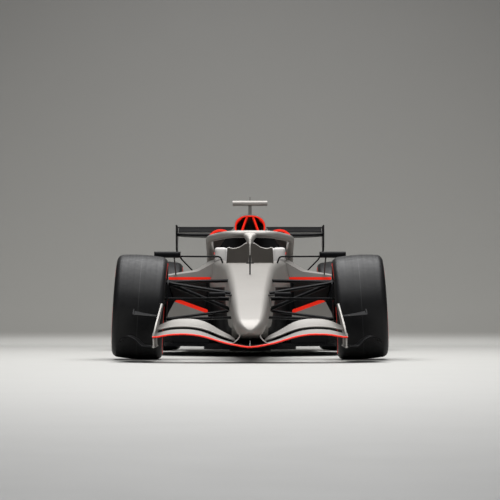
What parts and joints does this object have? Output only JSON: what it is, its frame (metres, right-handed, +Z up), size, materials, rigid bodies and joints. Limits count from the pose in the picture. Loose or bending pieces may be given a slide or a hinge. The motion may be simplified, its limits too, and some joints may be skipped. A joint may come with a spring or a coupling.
{
  "type": "open wheel racing car",
  "caption": "Single seat open wheel racing car with winged nose, halo hoop, sidepods, finned engine cover, rear wing with opening flap, steered front wheels and free rolling slick tyres.",
  "frame": {"origin": "on the ground under the middle of the car's bounding box", "axes": "+Z up, -Y towards the nose, +X towards the driver's left"},
  "size_m": [1.9002, 5.4498, 1.192],
  "materials": {
    "titanium_paint": "satin metallic",
    "red_paint": "satin",
    "carbon": "satin woven",
    "plank_board": "matt",
    "padding": "matt",
    "cast_metal": "cast",
    "steel": "brushed",
    "lamp_lens": "gloss",
    "mirror_face": "mirror",
    "rim_metal": "satin black",
    "tyre": "matt"
  },
  "bodies": {
    "chassis": {"nose_cone": "titanium_paint", "survival_cell": "titanium_paint", "halo": "titanium_paint", "engine_cover": "titanium_paint", "sidepods": "titanium_paint", "cooling_scoops": "titanium_paint", "windscreen": "titanium_paint", "t_camera": "titanium_paint", "front_wing_mainplane": "titanium_paint", "front_wing_flaps": "titanium_paint", "front_wing_endplates": "titanium_paint", "bargeboards": "titanium_paint", "nose_pylons": "titanium_paint", "scoop_lips": "red_paint", "airbox_inlet": "red_paint", "floor": "carbon", "diffuser": "carbon", "rear_wing_mainplane": "carbon", "rear_wing_endplates": "carbon", "rear_wing_pylon": "carbon", "mirrors": "carbon", "nose_cameras": "carbon", "front_suspension": "carbon", "rear_suspension": "carbon", "rear_crash_structure": "carbon", "steering_column": "carbon", "pitot_mast": "carbon", "rear_uprights": "carbon", "plank": "plank_board", "headrest": "padding", "seat": "padding", "engine_block": "cast_metal", "gearbox_casing": "cast_metal", "radiators": "cast_metal", "exhaust_pipe": "steel", "exhaust_hanger": "steel", "rear_light": "lamp_lens", "mirror_glass": "mirror_face"},
    "knuckle_left": {"front_upright_left": "carbon"},
    "knuckle_right": {"front_upright_right": "carbon"},
    "wheel_front_left": {"tyre_front_left": "tyre", "rim_front_left": "rim_metal"},
    "wheel_front_right": {"tyre_front_right": "tyre", "rim_front_right": "rim_metal"},
    "wheel_rear_left": {"tyre_rear_left": "tyre", "rim_rear_left": "rim_metal", "driveshaft_left": "steel"},
    "wheel_rear_right": {"tyre_rear_right": "tyre", "rim_rear_right": "rim_metal", "driveshaft_right": "steel"},
    "rack": {"steering_rack": "steel", "track_rods": "steel"},
    "handwheel": {"steering_wheel": "carbon"},
    "rear_flap": {"rear_wing_flap": "carbon"}
  },
  "joints": [
    {"name": "steer_left", "type": "hinge", "parent": "chassis", "child": "knuckle_left", "pos_m": [0.60757, -1.525, 0.35241], "axis": [-0.061, 0, 0.9981], "range_deg": [-16, 16]},
    {"name": "steer_right", "type": "hinge", "parent": "chassis", "child": "knuckle_right", "pos_m": [-0.60757, -1.525, 0.35241], "axis": [0.061, 0, 0.9981], "range_deg": [-16, 16]},
    {"name": "rack_slide", "type": "slide", "parent": "chassis", "child": "rack", "axis": [1, 0, 0], "range_m": [-0.028, 0.028]},
    {"name": "handwheel_turn", "type": "hinge", "parent": "chassis", "child": "handwheel", "pos_m": [0, -0.435, 0.6], "axis": [0, 0.9397, 0.342], "range_deg": [-160, 160]},
    {"name": "spin_front_left", "type": "hinge", "parent": "knuckle_left", "child": "wheel_front_left", "pos_m": [0.75729, -1.525, 0.36157], "axis": [0.9981, 0, 0.061], "continuous": true},
    {"name": "spin_front_right", "type": "hinge", "parent": "knuckle_right", "child": "wheel_front_right", "pos_m": [-0.75729, -1.525, 0.36157], "axis": [0.9981, 0, -0.061], "continuous": true},
    {"name": "spin_rear_left", "type": "hinge", "parent": "chassis", "child": "wheel_rear_left", "pos_m": [0.74483, 1.875, 0.36029], "axis": [0.9997, 0, 0.0262], "continuous": true},
    {"name": "spin_rear_right", "type": "hinge", "parent": "chassis", "child": "wheel_rear_right", "pos_m": [-0.74483, 1.875, 0.36029], "axis": [0.9997, 0, -0.0262], "continuous": true},
    {"name": "flap_open", "type": "hinge", "parent": "chassis", "child": "rear_flap", "pos_m": [0, 2.517, 1.002], "axis": [-1, 0, 0], "range_deg": [0, 25]}
  ],
  "couplings": [
    {"joint": "steer_right", "follows": "steer_left", "ratio": 1},
    {"joint": "rack_slide", "follows": "steer_left", "m_per_rad": 0.1},
    {"joint": "handwheel_turn", "follows": "steer_left", "ratio": 10}
  ]
}
